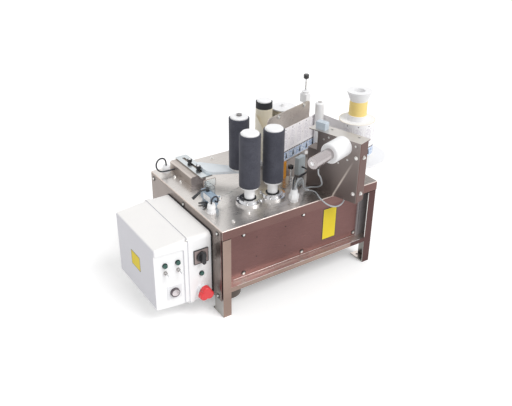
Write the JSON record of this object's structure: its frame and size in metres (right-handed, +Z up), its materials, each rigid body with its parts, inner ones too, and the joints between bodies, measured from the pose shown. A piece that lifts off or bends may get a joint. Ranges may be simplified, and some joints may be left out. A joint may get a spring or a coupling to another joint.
{
  "type": "bottle labelling machine",
  "caption": "Benchtop wrap-around bottle labeller: three foam rollers, label web, peel plate, reel, rewinder and side control box on a folded steel frame.",
  "frame": {"origin": "centre of the four foot holes at floor level", "axes": "+X to the operator's right along the long front, +Y to the back, +Z up; the control box is on -X"},
  "size_m": [0.8564, 0.5308, 0.59],
  "materials": {
    "stainless": "brushed stainless sheet",
    "stainless_bright": "bright rolled stainless",
    "chrome": "polished",
    "aluminium": "plain turned",
    "white_plastic": "white moulded",
    "box_plastic": "white moulded enclosure",
    "white_nylon": "turned white nylon",
    "foam_rubber": "black foam rubber",
    "black_rubber": "black rubber",
    "black_plastic": "black moulded",
    "yellow_plastic": "yellow sleeve",
    "amber_plastic": "amber strip",
    "blue_grey_plastic": "pale blue-grey housing",
    "arm_plastic": "pale blue-white",
    "clear_plastic": "clear sheet",
    "label_paper": "printed label web",
    "liner_paper": "backing paper",
    "green_lens": "green lamp lens",
    "red_plastic": "red mushroom head",
    "grey_cable": "grey cable jacket",
    "black_cable": "black cable jacket",
    "motor_paint": "black painted motor",
    "zinc": "zinc plated"
  },
  "bodies": {
    "machine": {"adjuster_post": "white_nylon", "arm_housing": "stainless_bright", "base_frame": "stainless", "cable_glands": "white_plastic", "control_bezels": "black_plastic", "control_box_base": "box_plastic", "control_box_gasket": "black_rubber", "control_box_lid": "box_plastic", "cover_screws": "zinc", "deck_cover": "stainless", "drive_belts": "black_rubber", "drive_motors": "motor_paint", "drum_housing": "white_plastic", "head_base": "aluminium", "head_bracket": "amber_plastic", "indicator_lamps": "green_lens", "label_web": "label_paper", "liner": "liner_paper", "loop_cable": "black_cable", "motor_cable": "grey_cable", "peel_plate": "stainless_bright", "photo_sensors": "blue_grey_plastic", "reel_bracket": "stainless_bright", "roller_flanges": "chrome", "sensor_cable": "black_cable", "side_motor": "aluminium", "side_panels": "stainless", "switch_body": "blue_grey_plastic", "switch_cable": "black_cable", "switch_guard": "clear_plastic", "tower_body": "stainless_bright", "tower_cable": "grey_cable"},
    "left_roller": {"left_roller_core": "white_nylon", "left_roller_sleeve": "foam_rubber"},
    "right_roller": {"right_roller_core": "white_nylon", "right_roller_sleeve": "foam_rubber"},
    "motor_shaft": {"motor_pulley": "aluminium"},
    "pressure_slide": {"slide_plate": "stainless_bright", "pressure_arm": "arm_plastic"},
    "pressure_roller": {"pressure_roller_core": "white_nylon", "pressure_roller_sleeve": "foam_rubber"},
    "traction_roller": {"traction_roller_core": "white_nylon", "traction_roller_sleeve": "black_rubber"},
    "rewinder": {"rewind_spool": "white_nylon", "rewind_roll": "liner_paper"},
    "guide_roller": {"guide_roller": "white_nylon"},
    "label_reel": {"support_disc": "white_nylon", "reel_hub": "white_nylon", "brake_drum": "yellow_plastic", "label_roll": "label_paper"},
    "toggle_left": {"toggle_lever_left": "chrome"},
    "toggle_right": {"toggle_lever_right": "chrome"},
    "selector": {"selector_knob": "black_plastic"},
    "emergency_stop": {"estop_button": "red_plastic"},
    "feeler": {"switch_feeler": "chrome"},
    "switch_lever": {"switch_clamp_lever": "black_plastic"},
    "slide_knob_front": {"clamp_knob_front": "black_plastic"},
    "slide_knob_rear": {"clamp_knob_rear": "black_plastic"},
    "tension_knob": {"adjuster_knob": "black_plastic"},
    "head_knob": {"head_clamp": "black_plastic"}
  },
  "joints": [
    {"name": "left_roller_spin", "type": "hinge", "parent": "machine", "child": "left_roller", "pos_m": [-0.1292, -0.1168, 0.446], "axis": [0, 0, 1], "continuous": true},
    {"name": "right_roller_spin", "type": "hinge", "parent": "machine", "child": "right_roller", "pos_m": [-0.0501, -0.1238, 0.446], "axis": [0, 0, 1], "continuous": true},
    {"name": "motor_spin", "type": "hinge", "parent": "machine", "child": "motor_shaft", "pos_m": [-0.228, -0.142, 0.248], "axis": [0, 0, 1], "continuous": true},
    {"name": "pressure_slide", "type": "slide", "parent": "machine", "child": "pressure_slide", "axis": [0, 1, 0], "range_m": [-0.035, 0.015]},
    {"name": "pressure_roller_spin", "type": "hinge", "parent": "pressure_slide", "child": "pressure_roller", "pos_m": [-0.0855, 0.0105, 0.446], "axis": [0, 0, 1], "continuous": true},
    {"name": "traction_spin", "type": "hinge", "parent": "machine", "child": "traction_roller", "pos_m": [0.05209, 0.07813, 0.446], "axis": [0, 0, 1], "continuous": true},
    {"name": "rewind_spin", "type": "hinge", "parent": "machine", "child": "rewinder", "pos_m": [0.13585, 0.08806, 0.42], "axis": [0, 0, 1], "continuous": true},
    {"name": "guide_roller_spin", "type": "hinge", "parent": "machine", "child": "guide_roller", "pos_m": [0.19668, -0.02542, 0.446], "axis": [0, 0, 1], "continuous": true},
    {"name": "label_reel_spin", "type": "hinge", "parent": "machine", "child": "label_reel", "pos_m": [0.28097, -0.113, 0.446], "axis": [0, 0, 1], "continuous": true},
    {"name": "toggle_left_swing", "type": "hinge", "parent": "machine", "child": "toggle_left", "pos_m": [-0.43996, -0.16076, 0.184], "axis": [0.9964, -0.0847, 0], "range_deg": [-28, 0]},
    {"name": "toggle_right_swing", "type": "hinge", "parent": "machine", "child": "toggle_right", "pos_m": [-0.40096, -0.16407, 0.184], "axis": [0.9964, -0.0847, 0], "range_deg": [-28, 0]},
    {"name": "selector_turn", "type": "hinge", "parent": "machine", "child": "selector", "pos_m": [-0.329, -0.174, 0.208], "axis": [0, 1, 0], "range_deg": [0, 90]},
    {"name": "emergency_stop_press", "type": "slide", "parent": "machine", "child": "emergency_stop", "axis": [0, 1, 0], "range_m": [0, 0.005], "stiffness_N_per_m": 400, "springref_m": -0.003},
    {"name": "feeler_swing", "type": "hinge", "parent": "machine", "child": "feeler", "pos_m": [-0.217, -0.088, 0.328], "axis": [0, 0, 1], "range_deg": [-18, 18], "stiffness_Nm_per_rad": 0.02},
    {"name": "switch_lever_turn", "type": "hinge", "parent": "machine", "child": "switch_lever", "pos_m": [-0.236, -0.052, 0.345], "axis": [0, 0, 1], "range_deg": [-70, 30]},
    {"name": "slide_knob_front_turn", "type": "hinge", "parent": "machine", "child": "slide_knob_front", "pos_m": [-0.189, 0.088, 0.346], "axis": [0, 0, 1], "range_deg": [-180, 180]},
    {"name": "slide_knob_rear_turn", "type": "hinge", "parent": "machine", "child": "slide_knob_rear", "pos_m": [-0.189, 0.144, 0.346], "axis": [0, 0, 1], "range_deg": [-180, 180]},
    {"name": "tension_knob_turn", "type": "hinge", "parent": "machine", "child": "tension_knob", "pos_m": [0.20542, 0.06227, 0.56], "axis": [0, 0, 1], "range_deg": [-180, 180]},
    {"name": "head_knob_turn", "type": "hinge", "parent": "machine", "child": "head_knob", "pos_m": [0.05888, -0.06723, 0.34], "axis": [0, 0, 1], "range_deg": [-180, 180]}
  ],
  "couplings": [
    {"joint": "right_roller_spin", "follows": "left_roller_spin", "ratio": 1},
    {"joint": "motor_spin", "follows": "left_roller_spin", "ratio": 1},
    {"joint": "rewind_spin", "follows": "traction_spin", "ratio": 1}
  ]
}
